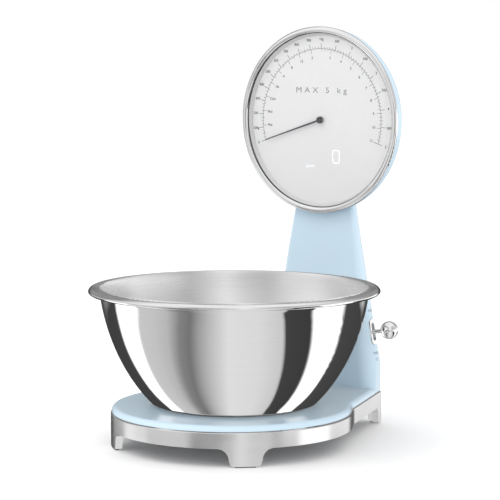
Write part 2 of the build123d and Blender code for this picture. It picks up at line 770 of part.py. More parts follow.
def make_lever_pin():
    return rod(1.0, (pivot[0], hub_y0 - 1.9, pivot[2]), (pivot[0], hub_y1 + 1.9, pivot[2]))


def make_lever_bracket():
    px, pz = pivot[0], pivot[2]
    back = plate(px - 22, px + 5, hub_y1 + 0.3, hub_y1 + 1.9, pz - 13, pz + 13)
    front = plate(px - 4.5, px + 4.5, hub_y0 - 1.9, hub_y0 - 0.3, pz - 13, pz + 4.5)
    floor = plate(px - 4.5, px + 4.5, hub_y0 - 1.9, hub_y1 + 1.9, pz - 14.2, pz - 12.8)
    bracket = back + front + floor
    for side in (1, -1):
        z = pz + side * 11.0
        bracket += plate(px - 11.0, px - 4.6, hub_y0 - 0.5, hub_y1 + 1.0, z - 0.7, z + 0.7)
    return bracket - rod(1.0, (px, 120, pz), (px, 145, pz))


def make_centring_spring(side):
    """One of the two small springs that press the rocker's arm back to the middle."""
    px, pz = pivot[0], pivot[2]
    low, high = (pz + 1.5, pz + 10.0) if side > 0 else (pz - 10.0, pz - 1.5)
    wire = 0.25
    path = Helix(pitch=(high - low - 2 * wire) / 5, height=high - low - 2 * wire, radius=1.3)
    plane = Plane(origin=path @ 0, z_dir=path % 0)
    coil = sweep(plane * Circle(wire), path=path, is_frenet=True)
    return Pos(px - 7.8, lever_y, low + wire) * coil


def make_switch_body():
    px, pz = pivot[0], pivot[2]
    x0, x1 = px - 21.0, px - 15.6
    body = plate(x0, x1, lever_y - 3.0, hub_y1 + 0.3, pz - 9.0, pz + 9.0)
    return body - plate(x0 + 1.2, x1 + 1, lever_y - 1.6, lever_y + 1.6, pz - 7.0, pz + 7.0)


def make_switch_slider():
    px, pz = pivot[0], pivot[2]
    slider = plate(px - 19.4, px - 15.9, lever_y - 1.3, lever_y + 1.3, pz - 4.0, pz + 4.0)
    slider += plate(px - 16.0, px - 10.4, lever_y - 1.3, lever_y + 1.3, pz - 3.4, pz - 1.75)
    slider += plate(px - 16.0, px - 10.4, lever_y - 1.3, lever_y + 1.3, pz + 1.75, pz + 3.4)
    return slider


def make_lever_escutcheon():
    flange = oblong(8.6, 24.0, -0.95, 1.3)
    return flange - oblong(4.8, 17.0, -3.0, 4.0)


# ---- leads ----
def lead(points, radius, bend):
    path = FilletPolyline(*points, radius=bend)
    plane = Plane(origin=path @ 0, z_dir=path % 0)
    return sweep(plane * Circle(radius), path=path)


def make_cell_lead():
    points = [(-38.5, bowl_y, 26.0), (-46.0, bowl_y + 6.0, 26.0), (-46.0, 118.0, 26.0),
              (-20.0, 131.0, 40.0), (-14.0, 134.0, 120.0), (-10.0, 134.0, 200.0), (-10.0, 132.9, 226.0)]
    return lead(points, 1.1, 2.5)


def make_battery_lead():
    points = [(12.0, 107.2, 26.0), (12.0, 120.0, 26.0), (6.0, 133.0, 45.0), (2.0, 134.0, 120.0),
              (2.0, 134.0, 200.0), (2.0, 132.9, 226.0)]
    return lead(points, 1.1, 2.5)


# ---- output ----
def build():
    shell, column_cover, head_cover = make_shells()
    return {
        "plinth": make_plinth(),
        "foot_pads": group(pad_solids(0.0)),
        "bottom_cover": make_bottom_cover(),
        "battery_door": make_battery_door(),
        "batteries": make_batteries(),
        "battery_contacts": make_battery_contacts(),
        "load_cell_foot": make_cell_foot(),
        "load_cell": make_load_cell(),
        "load_cell_gauges": make_cell_gauges(),
        "load_cell_screws": make_cell_screws(),
        "platform_carrier": make_platform_carrier(),
        "carrier_screws": make_carrier_screws(),
        "weighing_platform": make_weighing_platform(),
        "grip_ring": make_grip_ring(),
        "bowl": make_bowl(),
        "front_shell": shell,
        "column_rear_cover": column_cover,
        "head_rear_cover": head_cover,
        "rear_screws": make_rear_screws(),
        "bottom_screws": make_bottom_screws(),
        "bezel": make_bezel(),
        "dial_glass": dial_disc(glass_r, glass_y0, glass_y1),
        "glass_gasket": make_glass_gasket(),
        "dial_ring": make_dial_ring(),
        "dial_face": make_dial_face(),
        "dial_carrier": make_dial_carrier(),
        "dial_screws": make_dial_screws(),
        "main_board": make_main_board(),
        "board_chips": make_board_chips(),
        "board_screws": make_board_screws(),
        "display_module": make_display_module(),
        "display_diffuser": make_display_diffuser(),
        "pointer": make_pointer(),
        "pointer_cap": make_pointer_cap(),
        "pointer_bush": make_pointer_bush(),
        "motor_case": make_motor_case(),
        "output_wheel": make_output_wheel(),
        "motor_rotor": make_motor_rotor(),
        "lever_ball": make_lever_ball(),
        "lever_stem": make_lever_stem(),
        "lever_rocker": make_lever_rocker(),
        "lever_pin": make_lever_pin(),
        "lever_bracket": make_lever_bracket(),
        "upper_spring": make_centring_spring(1),
        "lower_spring": make_centring_spring(-1),
        "switch_body": make_switch_body(),
        "switch_slider": make_switch_slider(),
        "lever_escutcheon": make_lever_escutcheon(),
        "cell_lead": make_cell_lead(),
        "battery_lead": make_battery_lead(),
    }


for name, shape in build().items():
    write(name, shape)
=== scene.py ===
import json
import math

import bmesh
import bpy
from mathutils import Matrix, Vector
from mathutils.bvhtree import BVHTree


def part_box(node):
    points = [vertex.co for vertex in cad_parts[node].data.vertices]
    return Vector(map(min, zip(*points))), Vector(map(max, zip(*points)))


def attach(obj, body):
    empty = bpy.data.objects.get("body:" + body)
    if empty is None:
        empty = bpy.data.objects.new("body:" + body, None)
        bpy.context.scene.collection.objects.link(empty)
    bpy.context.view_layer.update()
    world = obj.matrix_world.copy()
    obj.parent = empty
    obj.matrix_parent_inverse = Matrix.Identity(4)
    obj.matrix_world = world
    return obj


# Kitchen scale: looks, printed marks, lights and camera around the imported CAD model.
# Metres, in the CAD model's frame: +Z up, -Y front, +X the lever's side.

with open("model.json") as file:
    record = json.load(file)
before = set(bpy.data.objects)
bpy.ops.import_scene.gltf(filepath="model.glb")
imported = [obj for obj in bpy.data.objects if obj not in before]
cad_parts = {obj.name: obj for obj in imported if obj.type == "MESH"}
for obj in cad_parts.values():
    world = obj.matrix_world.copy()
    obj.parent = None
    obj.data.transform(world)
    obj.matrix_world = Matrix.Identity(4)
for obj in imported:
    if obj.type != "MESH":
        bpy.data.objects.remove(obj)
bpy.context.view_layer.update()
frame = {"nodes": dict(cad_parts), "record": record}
nodes = frame["nodes"]

MM = 0.001

# ---- places read from the CAD model ----
cap_low, cap_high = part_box("pointer_cap")
bowl_low, bowl_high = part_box("bowl")
lever_low, lever_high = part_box("lever_escutcheon")
FACE_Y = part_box("dial_face")[0].y
DIAL_Z = (cap_low.z + cap_high.z) / 2
BOWL_Y = (bowl_low.y + bowl_high.y) / 2

# ---- camera ----
CAMERA_AT = Vector((1.1015, -1.5128, 0.3691))
CAMERA_DIRECTION = Vector((-0.58345, 0.80540, -0.10453))
LENS_MM = 151.38
SENSOR_MM = 36.0
CLIP_NEAR, CLIP_FAR = 0.05, 40.0
TOWARDS_CAMERA_DEG = -53.65     # compass angle from the object to the camera

# ---- dial print, in mm and degrees clockwise from the top ----
SWEEP_DEG = 108.0
ARC_R = 66.4
LINE_W = 0.42
MINOR_W = 0.34
INK_DEEP, INK_PROUD = 0.02, 0.06
OUTER_LABEL_R, OUTER_LABEL_H = 75.2, 3.5
INNER_LABEL_R, INNER_LABEL_H = 58.6, 3.5
LONG_TICK, SHORT_TICK = 5.0, 1.9                # kilograms, outside the arc
LONG_INNER_TICK, SHORT_INNER_TICK = 4.2, 1.8    # pounds and ounces, inside it
ZERO_TICK_IN, LAST_TICK_IN = 4.0, 5.0
CAPACITY_V, CAPACITY_H = 27.5, 7.4
DIGIT_U, DIGIT_V, DIGIT_W, DIGIT_H, DIGIT_THICK = 17.0, -34.0, 8.3, 12.8, 0.95
SEGMENT_GAP = 0.30
UNIT_U, UNIT_V, UNIT_H = -11.8, -43.3, 3.9
LB_KG = 0.4536
OZ_KG = 0.02835

# ---- print by the lever: places in metres, sizes in mm ----
SIDE_LEAN_DEG = 9.8             # how far the column's side leans in from upright
SIDE_Y = 0.1315
SIDE_WORDS = (("side_unit_word", "UNIT", 0.1070), ("side_tare_word", "TARE", 0.0675))
SIDE_WORD_H = 3.4
POWER_Z, POWER_R, POWER_W, POWER_OPEN_DEG = 0.0620, 1.4, 0.35, 32.0


# ---- node helpers ----
def new_material(name):
    material = bpy.data.materials.new(name)
    material.use_nodes = True
    tree = material.node_tree
    return material, tree, tree.nodes["Principled BSDF"]


def link(tree, source, target):
    tree.links.new(source, target)


def object_coords(tree, stretch=(1.0, 1.0, 1.0)):
    coords = tree.nodes.new("ShaderNodeTexCoord")
    mapping = tree.nodes.new("ShaderNodeMapping")
    mapping.inputs["Scale"].default_value = stretch
    link(tree, coords.outputs["Object"], mapping.inputs["Vector"])
    return mapping.outputs["Vector"]


def noise(tree, vector, scale, detail=3.0):
    node = tree.nodes.new("ShaderNodeTexNoise")
    node.inputs["Scale"].default_value = scale
    node.inputs["Detail"].default_value = detail
    link(tree, vector, node.inputs["Vector"])
    return node.outputs["Fac"]


def remap(tree, value, low, high, from_low=0.3, from_high=0.7):
    node = tree.nodes.new("ShaderNodeMapRange")
    node.inputs["From Min"].default_value = from_low
    node.inputs["From Max"].default_value = from_high
    node.inputs["To Min"].default_value = low
    node.inputs["To Max"].default_value = high
    link(tree, value, node.inputs["Value"])
    return node.outputs["Result"]


def mix_color(tree, factor, color_a, color_b):
    node = tree.nodes.new("ShaderNodeMix")
    node.data_type = "RGBA"
    color_sockets = [s for s in node.inputs if s.type == "RGBA"]
    for socket, color in zip(color_sockets, (color_a, color_b)):
        if isinstance(color, bpy.types.NodeSocket):
            link(tree, color, socket)
        else:
            socket.default_value = (*color, 1.0)
    factor_socket = [s for s in node.inputs if s.name == "Factor" and s.type == "VALUE"][0]
    link(tree, factor, factor_socket)
    return [s for s in node.outputs if s.type == "RGBA"][0]


def math_node(tree, operation, a, b=None):
    node = tree.nodes.new("ShaderNodeMath")
    node.operation = operation
    for index, value in enumerate((a, b)):
        if isinstance(value, bpy.types.NodeSocket):
            link(tree, value, node.inputs[index])
        elif value is not None:
            node.inputs[index].default_value = value
    return node.outputs["Value"]


def vector_node(tree, operation, a, b=None):
    node = tree.nodes.new("ShaderNodeVectorMath")
    node.operation = operation
    link(tree, a, node.inputs[0])
    if isinstance(b, bpy.types.NodeSocket):
        link(tree, b, node.inputs[1])
    elif b is not None:
        node.inputs[1].default_value = b
    return node.outputs["Value" if operation in ("DOT_PRODUCT", "LENGTH") else "Vector"]


def bump(tree, bsdf, height, strength, distance):
    node = tree.nodes.new("ShaderNodeBump")
    node.inputs["Strength"].default_value = strength
    node.inputs["Distance"].default_value = distance
    link(tree, height, node.inputs["Height"])
    link(tree, node.outputs["Normal"], bsdf.inputs["Normal"])


def mix_shader(tree, factor, first, second):
    node = tree.nodes.new("ShaderNodeMixShader")
    link(tree, factor, node.inputs["Fac"])
    link(tree, first, node.inputs[1])
    link(tree, second, node.inputs[2])
    return node.outputs["Shader"]


def shades(color, spread):
    darker = tuple(c * (1.0 - spread) for c in color)
    lighter = tuple(min(1.0, c * (1.0 + spread)) for c in color)
    return darker, lighter


def finish_material(name, color, metallic=0.0, rough=(0.3, 0.4), spread=0.05, mottle=60.0,
                    grain=900.0, grain_depth=0.00002, grain_strength=0.2, stretch=(1.0, 1.0, 1.0), coat=0.0,
                    specular=0.5):
    """A surface with slow colour and gloss variation, and a fine grain in relief."""
    material, tree, bsdf = new_material(name)
    vector = object_coords(tree, stretch)
    patches = noise(tree, vector, mottle)
    link(tree, mix_color(tree, patches, *shades(color, spread)), bsdf.inputs["Base Color"])
    link(tree, remap(tree, patches, *rough), bsdf.inputs["Roughness"])
    bsdf.inputs["Metallic"].default_value = metallic
    bsdf.inputs["Specular IOR Level"].default_value = specular
    bsdf.inputs["Coat Weight"].default_value = coat
    bsdf.inputs["Coat Roughness"].default_value = 0.04
    bump(tree, bsdf, noise(tree, vector, grain, 2.0), grain_strength, grain_depth)
    return material


# ---- materials, one per finish ----
def blue_paint():
    """Gloss enamel: faint orange peel under a clear coat."""
    return finish_material(
        "pale_blue_enamel", (0.57, 0.715, 0.82), rough=(0.16, 0.24), spread=0.012, mottle=14.0,
        grain=260.0, grain_depth=0.00003, grain_strength=0.12, coat=0.12, specular=0.2)


def lathe_rings(tree, centred, flat):
    """Fine rings about the bowl's axis: noise that changes only with radius and height."""
    height = tree.nodes.new("ShaderNodeSeparateXYZ")
    link(tree, centred, height.inputs["Vector"])
    ring_place = tree.nodes.new("ShaderNodeCombineXYZ")
    link(tree, vector_node(tree, "LENGTH", flat), ring_place.inputs["X"])
    link(tree, height.outputs["Z"], ring_place.inputs["Y"])
    return noise(tree, ring_place.outputs["Vector"], 1500.0, 4.0)


def bowl_steel():
    """Spun steel: polished outside, satin inside, with fine rings from the lathe on both."""
    material, tree, bsdf = new_material("spun_steel")
    coords = tree.nodes.new("ShaderNodeTexCoord")
    centred = vector_node(tree, "SUBTRACT", coords.outputs["Object"], (0.0, BOWL_Y, 0.0))
    flat = vector_node(tree, "MULTIPLY", centred, (1.0, 1.0, 0.0))
    outward = vector_node(tree, "DOT_PRODUCT", flat, coords.outputs["Normal"])
    inside = remap(tree, outward, 1.0, 0.0, -0.004, 0.004)
    outside = math_node(tree, "SUBTRACT", 1.0, inside)
    rings = lathe_rings(tree, centred, flat)
    cloud = noise(tree, object_coords(tree), 22.0)
    satin = math_node(tree, "MULTIPLY", remap(tree, rings, 0.20, 0.30), inside)
    polish = math_node(tree, "MULTIPLY", remap(tree, cloud, 0.02, 0.05), outside)
    link(tree, math_node(tree, "ADD", satin, polish), bsdf.inputs["Roughness"])
    link(tree, mix_color(tree, rings, (0.82, 0.82, 0.82), (0.90, 0.90, 0.90)), bsdf.inputs["Base Color"])
    bsdf.inputs["Metallic"].default_value = 1.0
    relief = math_node(tree, "MULTIPLY", rings, remap(tree, inside, 0.12, 1.0, 0.0, 1.0))
    bump(tree, bsdf, relief, 0.18, 0.00002)
    return material


def band_metal():
    """Polished die-cast band: long faint lines and softly uneven gloss."""
    return finish_material(
        "polished_band", (0.84, 0.84, 0.845), metallic=1.0, rough=(0.15, 0.22), spread=0.05,
        mottle=30.0, grain=700.0, grain_depth=0.00002, grain_strength=0.15, stretch=(1.0, 1.0, 4.0))


def chrome():
    return finish_material(
        "bright_chrome", (0.90, 0.90, 0.905), metallic=1.0, rough=(0.04, 0.09), spread=0.03,
        mottle=50.0, grain=500.0, grain_depth=0.00001, grain_strength=0.08)


def clear_pane():
    """Thin clear pane: see-through, with a mirror's share that grows towards its edge-on view."""
    material, tree, bsdf = new_material("clear_pane")
    tree.nodes.remove(bsdf)
    through = tree.nodes.new("ShaderNodeBsdfTransparent")
    mirror = tree.nodes.new("ShaderNodeBsdfGlossy")
    edge = tree.nodes.new("ShaderNodeLayerWeight")
    edge.inputs["Blend"].default_value = 0.35
    share = remap(tree, math_node(tree, "POWER", edge.outputs["Facing"], 3.0), 0.025, 0.45, 0.0, 1.0)
    smear = noise(tree, object_coords(tree), 25.0)
    link(tree, remap(tree, smear, 0.02, 0.05), mirror.inputs["Roughness"])
    link(tree, mix_color(tree, smear, (0.985, 0.985, 0.985), (1.0, 1.0, 1.0)), through.inputs["Color"])
    mix = mix_shader(tree, share, through.outputs["BSDF"], mirror.outputs["BSDF"])
    link(tree, mix, tree.nodes["Material Output"].inputs["Surface"])
    return material


def dial_paper():
    return finish_material("dial_lacquer", (0.77, 0.77, 0.775), rough=(0.32, 0.42), spread=0.012, mottle=18.0,
                           grain=1400.0, grain_depth=0.00001, grain_strength=0.1)


def lit_digits():
    """White segments lit from behind, a little uneven across each segment."""
    material, tree, bsdf = new_material("lit_white")
    glow = noise(tree, object_coords(tree), 120.0)
    color = mix_color(tree, glow, (0.86, 0.91, 1.0), (0.95, 0.97, 1.0))
    link(tree, color, bsdf.inputs["Base Color"])
    link(tree, color, bsdf.inputs["Emission Color"])
    bsdf.inputs["Emission Strength"].default_value = 0.30
    link(tree, remap(tree, glow, 0.35, 0.5), bsdf.inputs["Roughness"])
    return material


MATERIALS = {
    "blue_paint": blue_paint(),
    "stainless": bowl_steel(),
    "polished_metal": band_metal(),
    "chrome_plate": chrome(),
    "clear": clear_pane(),
    "dial_print": dial_paper(),
    "ring_grey": finish_material("ring_satin", (0.60, 0.60, 0.60), rough=(0.28, 0.36), spread=0.02,
                                 mottle=25.0),
    "pointer_grey": finish_material("pointer_satin", (0.065, 0.068, 0.075), metallic=0.4, rough=(0.28, 0.4)),
    "rubber_grey": finish_material("rubber", (0.06, 0.06, 0.062), rough=(0.75, 0.9), grain=1600.0,
                                   spread=0.15),
    "dark_plastic": finish_material("dark_plastic", (0.03, 0.03, 0.033), rough=(0.4, 0.55), spread=0.12),
    "base_plastic": finish_material("base_plastic", (0.22, 0.23, 0.24), rough=(0.5, 0.65), grain=1500.0,
                                    spread=0.06),
    "steel": finish_material("plain_steel", (0.55, 0.55, 0.56), metallic=1.0, rough=(0.25, 0.4), spread=0.08),
    "aluminium": finish_material("milled_aluminium", (0.68, 0.68, 0.69), metallic=1.0, rough=(0.3, 0.42),
                                 stretch=(1.0, 8.0, 1.0)),
    "brass": finish_material("aged_brass", (0.34, 0.29, 0.20), metallic=1.0, rough=(0.2, 0.32)),
    "circuit_board": finish_material("solder_mask", (0.015, 0.12, 0.045), rough=(0.25, 0.4), spread=0.2),
    "cell_wrap": finish_material("cell_wrap", (0.05, 0.05, 0.055), rough=(0.2, 0.32), spread=0.1, coat=0.3),
    "white_plastic": finish_material("white_plastic", (0.72, 0.72, 0.71), rough=(0.35, 0.5), spread=0.03),
    "cable_black": finish_material("cable_jacket", (0.02, 0.02, 0.02), rough=(0.5, 0.65), spread=0.2),
    "diffuser": finish_material("milky_film", (0.78, 0.78, 0.78), rough=(0.45, 0.6), spread=0.03),
}
INK = finish_material("dial_ink", (0.10, 0.10, 0.105), rough=(0.45, 0.6), spread=0.15, mottle=220.0)
SOFT_INK = finish_material("dial_soft_ink", (0.24, 0.24, 0.245), rough=(0.45, 0.6), spread=0.12, mottle=220.0)
SIDE_INK = finish_material("side_ink", (0.20, 0.23, 0.26), rough=(0.45, 0.6), spread=0.15, mottle=220.0)
LIT = lit_digits()

# Nodes that the polished ones mirror. The rest would only show as clutter in the bowl's side.
MIRRORED = ("bowl", "bezel", "lever_stem", "lever_escutcheon")


def dress_nodes():
    for row in frame["record"]["subparts"]:
        node = nodes[row["node"]]
        node.data.materials.clear()
        node.data.materials.append(MATERIALS[row["material_slot"]])
    for name, node in nodes.items():
        node.visible_glossy = name in MIRRORED


# ---- printed marks ----
class Print:
    """Flat marks gathered into one thin mesh, drawn in mm across (u), up (v) and out of the surface (w)."""

    def __init__(self):
        self.mesh = bmesh.new()

    def outline(self, points):
        """A closed outline, raised from just under the surface to just above it."""
        low = [self.mesh.verts.new((u, v, -INK_DEEP)) for u, v in points]
        high = [self.mesh.verts.new((u, v, INK_PROUD)) for u, v in points]
        self.mesh.faces.new(list(reversed(low)))
        self.mesh.faces.new(high)
        for i in range(len(points)):
            j = (i + 1) % len(points)
            self.mesh.faces.new((low[i], low[j], high[j], high[i]))

    def radial(self, deg, inner, outer, width=LINE_W):
        """A tick from the inner to the outer radius."""
        s, c = math.sin(math.radians(deg)), math.cos(math.radians(deg))
        corners = [(-width / 2, inner), (width / 2, inner), (width / 2, outer), (-width / 2, outer)]
        self.outline([(c * u + s * v, -s * u + c * v) for u, v in corners])

    def band(self, deg0, deg1, radius, width, steps):
        """A thin curved line along a circle, as one strip."""
        rings = []
        for i in range(steps + 1):
            a = math.radians(deg0 + (deg1 - deg0) * i / steps)
            ring = []
            for r, w in ((-1, -INK_DEEP), (1, -INK_DEEP), (1, INK_PROUD), (-1, INK_PROUD)):
                reach = radius + r * width / 2
                ring.append(self.mesh.verts.new((reach * math.sin(a), reach * math.cos(a), w)))
            rings.append(ring)
        for near, far in zip(rings, rings[1:]):
            for i in range(4):
                j = (i + 1) % 4
                self.mesh.faces.new((near[i], near[j], far[j], far[i]))
        self.mesh.faces.new(rings[0])
        self.mesh.faces.new(list(reversed(rings[-1])))

    def text(self, words, u, v, height, spacing=1.0, stretch=1.0, bold=0.06):
        """Words centred on (u, v), with capitals about 0.7 of height."""
        curve = bpy.data.curves.new("words", "FONT")
        curve.body = words
        curve.size = height
        curve.space_character = spacing
        curve.align_x = "CENTER"
        curve.align_y = "CENTER"
        curve.resolution_u = 3
        curve.offset = bold
        curve.extrude = (INK_DEEP + INK_PROUD) / 2
        holder = bpy.data.objects.new("words", curve)
        bpy.context.scene.collection.objects.link(holder)
        bpy.context.view_layer.update()
        depsgraph = bpy.context.evaluated_depsgraph_get()
        flat = bpy.data.meshes.new_from_object(holder.evaluated_get(depsgraph))
        middle = Matrix.Translation((u, v, (INK_PROUD - INK_DEEP) / 2))
        flat.transform(middle @ Matrix.Diagonal((stretch, 1.0, 1.0, 1.0)))
        self.mesh.from_mesh(flat)
        bpy.data.meshes.remove(flat)
        bpy.data.objects.remove(holder)
        bpy.data.curves.remove(curve)

    def piece(self, name, matrix, material, body, slot):
        """The finished piece, put in place by matrix, which takes (u, v, w) in mm to the frame."""
        bmesh.ops.remove_doubles(self.mesh, verts=self.mesh.verts, dist=0.0005)
        bmesh.ops.dissolve_degenerate(self.mesh, edges=self.mesh.edges, dist=0.0005)
        bmesh.ops.recalc_face_normals(self.mesh, faces=self.mesh.faces)
        data = bpy.data.meshes.new(name)
        self.mesh.to_mesh(data)
        self.mesh.free()
        data.transform(matrix)
        data.materials.append(material)
        piece = bpy.data.objects.new(name, data)
        bpy.context.scene.collection.objects.link(piece)
        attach(piece, body)
        return piece


def dial_place():
    """Takes (across, up, out) in mm on the dial's face to the frame: out is towards the front."""
    return Matrix((
        (MM, 0.0, 0.0, 0.0),
        (0.0, 0.0, -MM, FACE_Y),
        (0.0, MM, 0.0, DIAL_Z),
        (0.0, 0.0, 0.0, 1.0),
    ))


def kg_angle(kg):
    """The first kilogram takes half of the sweep, and the other four share the rest."""
    if kg <= 1.0:
        return -SWEEP_DEG + SWEEP_DEG * kg
    return SWEEP_DEG * (kg - 1.0) / 4.0


def on_circle(radius, deg):
    return radius * math.sin(math.radians(deg)), radius * math.cos(math.radians(deg))


def outer_tick(ink, kg, is_long):
    reach = LONG_TICK if is_long else SHORT_TICK
    ink.radial(kg_angle(kg), ARC_R, ARC_R + reach, LINE_W if is_long else MINOR_W)


def inner_tick(ink, kg, is_long):
    ink.radial(kg_angle(kg), ARC_R - (LONG_INNER_TICK if is_long else SHORT_INNER_TICK), ARC_R, MINOR_W)


def scale_lines():
    """Ticks: 25 g to one kilogram and 100 g past it outside; 2 oz to two pounds and 4 oz past them inside."""
    ink = Print()
    ink.band(-SWEEP_DEG, SWEEP_DEG, ARC_R, MINOR_W, 144)
    for i in range(41):
        outer_tick(ink, i * 0.025, i % 4 == 0)
    for i in range(1, 41):
        outer_tick(ink, 1.0 + i * 0.1, i % 5 == 0)
    for i in range(1, 17):
        inner_tick(ink, i * 2 * OZ_KG, i % 2 == 0)
    for i in range(9, 44):
        inner_tick(ink, i * LB_KG / 4, i % 4 == 0)
    ink.radial(-SWEEP_DEG, ARC_R - ZERO_TICK_IN, ARC_R + LONG_TICK)
    ink.radial(SWEEP_DEG, ARC_R - LAST_TICK_IN, ARC_R + LONG_TICK)
    ink.piece("dial_scale_lines", dial_place(), INK, "base", "dial_print")


def scale_numbers():
    ink = Print()
    outer = [("0", 0.0), ("1kg", 1.0)]
    outer += [(("100g" if i == 1 else str(i * 100)), i * 0.1) for i in range(1, 10)]
    outer += [("500", kg + 0.5) for kg in (1, 2, 3, 4)]
    outer += [(str(kg), float(kg)) for kg in (2, 3, 4, 5)]
    for words, kg in outer:
        ink.text(words, *on_circle(OUTER_LABEL_R, kg_angle(kg)), OUTER_LABEL_H)
    inner = [(f"{oz}oz", oz * OZ_KG) for oz in (4, 8, 12)] + [("1lb", LB_KG)]
    inner += [(str(oz), LB_KG + oz * OZ_KG) for oz in (4, 8, 12)]
    inner += [(str(lb), lb * LB_KG) for lb in range(2, 12)]
    for words, kg in inner:
        ink.text(words, *on_circle(INNER_LABEL_R, kg_angle(kg)), INNER_LABEL_H)
    ink.piece("dial_numbers", dial_place(), INK, "base", "dial_print")


def dial_words():
    ink = Print()
    ink.text("MAX 5 kg", 0.0, CAPACITY_V, CAPACITY_H, spacing=1.6, stretch=1.25, bold=0.0)
    ink.piece("dial_capacity_words", dial_place(), SOFT_INK, "base", "dial_print")


def segment_bar(ink, start, end, thick):
    """One bar from start to end with pointed ends, short of both by the gap."""
    (x0, y0), (x1, y1) = start, end
    length = math.hypot(x1 - x0, y1 - y0)
    dx, dy = (x1 - x0) / length, (y1 - y0) / length
    near, far = SEGMENT_GAP, length - SEGMENT_GAP
    corners = ((near, 0.0), (near + thick / 2, -0.5), (far - thick / 2, -0.5),
               (far, 0.0), (far - thick / 2, 0.5), (near + thick / 2, 0.5))
    ink.outline([(x0 + dx * along - dy * side * thick, y0 + dy * along + dx * side * thick)
                 for along, side in corners])


def segment_zero(ink, u, v, width, height, thick):
    """The six outer bars of a seven-segment figure, mitred, with small gaps between them."""
    left, right = u - (width - thick) / 2, u + (width - thick) / 2
    bottom, top = v - (height - thick) / 2, v + (height - thick) / 2
    for y in (top, bottom):
        segment_bar(ink, (left, y), (right, y), thick)
    for x in (left, right):
        segment_bar(ink, (x, bottom), (x, v), thick)
        segment_bar(ink, (x, v), (x, top), thick)


def readout():
    ink = Print()
    segment_zero(ink, DIGIT_U, DIGIT_V, DIGIT_W, DIGIT_H, DIGIT_THICK)
    ink.piece("readout_zero", dial_place(), LIT, "base", "diffuser")
    ink = Print()
    ink.text("grams", UNIT_U, UNIT_V, UNIT_H, bold=0.0)
    ink.piece("readout_unit", dial_place(), LIT, "base", "diffuser")


def side_place(z):
    """Takes (across, up, out) in mm near height z on the column's lever side to the frame."""
    lean = math.radians(SIDE_LEAN_DEG)
    up = Vector((-math.sin(lean), 0.0, math.cos(lean)))
    out = Vector((math.cos(lean), 0.0, math.sin(lean)))
    start = Vector((lever_low.x + (lever_high.z - z) * math.tan(lean), SIDE_Y, z))
    columns = [Vector((0.0, 1.0, 0.0)) * MM, up * MM, out * MM, start]
    matrix = Matrix.Identity(4)
    for c, column in enumerate(columns):
        for r in range(3):
            matrix[r][c] = column[r]
    return matrix, out


def wrap_to_shell(piece, out):
    """Moves the print along out, point by point, to lie as far from the painted shell as it was drawn."""
    shell = nodes["front_shell"].data
    tree = BVHTree.FromPolygons([v.co for v in shell.vertices], [p.vertices for p in shell.polygons])
    deepest = min(v.co.dot(out) for v in piece.data.vertices)
    ray_start = 0.05
    same_depth = INK_DEEP * MM * 2
    for vertex in piece.data.vertices:
        proud = 0.0 if vertex.co.dot(out) < deepest + same_depth else INK_PROUD * MM
        hit = tree.ray_cast(vertex.co + out * ray_start, -out)[0]
        if hit is not None:
            vertex.co = hit + out * (proud - INK_DEEP * MM / 2)


def side_print(name, ink, z):
    matrix, out = side_place(z)
    wrap_to_shell(ink.piece(name, matrix, SIDE_INK, "base", "blue_paint"), out)


def side_marks():
    for name, words, z in SIDE_WORDS:
        ink = Print()
        ink.text(words, 0.0, 0.0, SIDE_WORD_H)
        side_print(name, ink, z)
    ink = Print()
    ink.band(POWER_OPEN_DEG, 360.0 - POWER_OPEN_DEG, POWER_R, POWER_W, 40)
    ink.radial(0.0, POWER_R * 0.25, POWER_R * 1.25, POWER_W)
    side_print("side_power_symbol", ink, POWER_Z)


# ---- studio ----
# Brightness that the polished parts mirror, by compass angle: degrees from the camera, + towards image right.
# The low part's bands lean towards the camera's side, so that they don't meet in a point straight down.
LOW_SPREAD = 0.69
STUDIO_LOW = [
    (-180, 0.05), (-117, 0.06), (-113, 1.35), (-81, 1.35), (-77, 0.66), (-60, 0.62),
    (-48, 0.54), (-38, 0.26), (-30, 0.20), (-17, 0.55), (-4, 0.84), (16, 0.80),
    (33, 0.66), (35, 0.06), (57, 0.05), (60, 1.35), (96, 1.35), (99, 0.07),
    (165, 0.05), (172, 0.45), (180, 0.30),
]
STUDIO_LEVEL = [
    (-180, 0.06), (-158, 0.08), (-146, 0.45), (-112, 0.80), (-96, 0.55), (-78, 0.66),
    (-52, 0.80), (-44, 1.00), (-36, 0.46), (-14, 0.26), (0, 0.42), (8, 0.92),
    (18, 0.60), (40, 0.66), (52, 1.20), (146, 1.20), (156, 0.08), (180, 0.06),
]
STUDIO_HIGH = [
    (-180, 0.30), (-126, 0.30), (-105, 0.80), (-77, 1.00), (-52, 0.82), (-32, 0.58),
    (-10, 0.75), (8, 1.00), (24, 0.72), (42, 0.46), (66, 0.62), (98, 0.74),
    (122, 0.50), (142, 0.34), (180, 0.30),
]
# Where one part gives way to the next, by the direction's rise.
LOW_TO_LEVEL = (-0.24, -0.17)
LEVEL_TO_HIGH = (0.05, 0.20)
HIGH_TO_OVERHEAD = (0.62, 0.88)
OVERHEAD = (0.95, 0.95, 0.95)
# An even grey about the point where the low bands meet, and how far from it they come back.
CALM = (0.42, 0.42, 0.42)
CALM_REACH = (0.06, 0.36)
WHITE = (1.0, 1.0, 1.0)
SOFT_STRENGTH = 1.18
FLOOR_HALF = 6.0


def angle_ramp(tree, stops, place):
    ramp = tree.nodes.new("ShaderNodeValToRGB")
    elements = ramp.color_ramp.elements
    elements[0].position = 0.0
    elements[1].position = 1.0
    for deg, level in stops[1:-1]:
        elements.new((deg + 180.0) / 360.0).color = (level, level, level, 1.0)
    for element, (deg, level) in zip((elements[0], elements[-1]), (stops[0], stops[-1])):
        element.color = (level, level, level, 1.0)
    link(tree, place, ramp.inputs["Fac"])
    return ramp.outputs["Color"]


